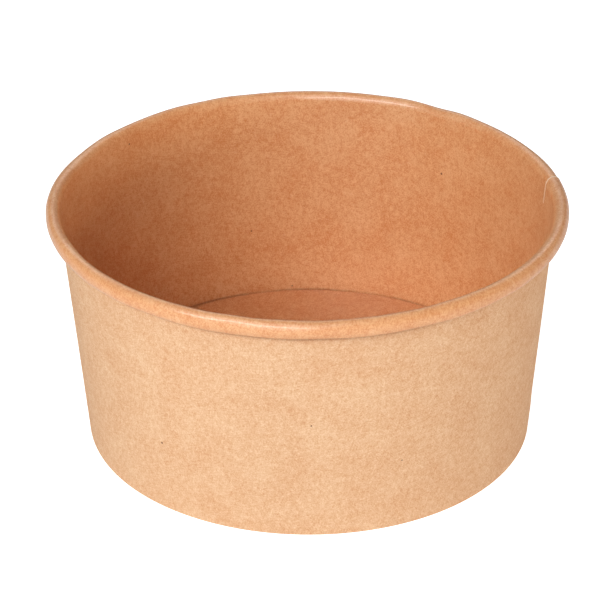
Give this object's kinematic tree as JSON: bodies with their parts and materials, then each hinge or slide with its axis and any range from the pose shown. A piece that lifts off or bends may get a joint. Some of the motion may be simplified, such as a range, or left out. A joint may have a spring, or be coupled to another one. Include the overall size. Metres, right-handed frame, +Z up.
{
  "type": "kraft paper salad bowl",
  "caption": "Round kraft paperboard salad bowl with a tapered lap-sealed wall, an outward rolled rim and a recessed glued-in floor.",
  "frame": {"origin": "centre of the foot ring, on the surface that the bowl stands on", "axes": "+Z up along the bowl's axis, out of its mouth; +X towards the side seam's part of the wall, the seam's cut edge lies 10 degrees from it towards +Y"},
  "size_m": [0.1503, 0.15, 0.0728],
  "materials": {
    "kraft_sidewall": "matte kraft outside, satin food-safe coating inside and on the rolled rim",
    "kraft_bottom": "satin food-safe coating above, matte kraft below"
  },
  "bodies": {
    "root": {"sidewall": "kraft_sidewall", "bottom_disc": "kraft_bottom"}
  },
  "joints": []
}
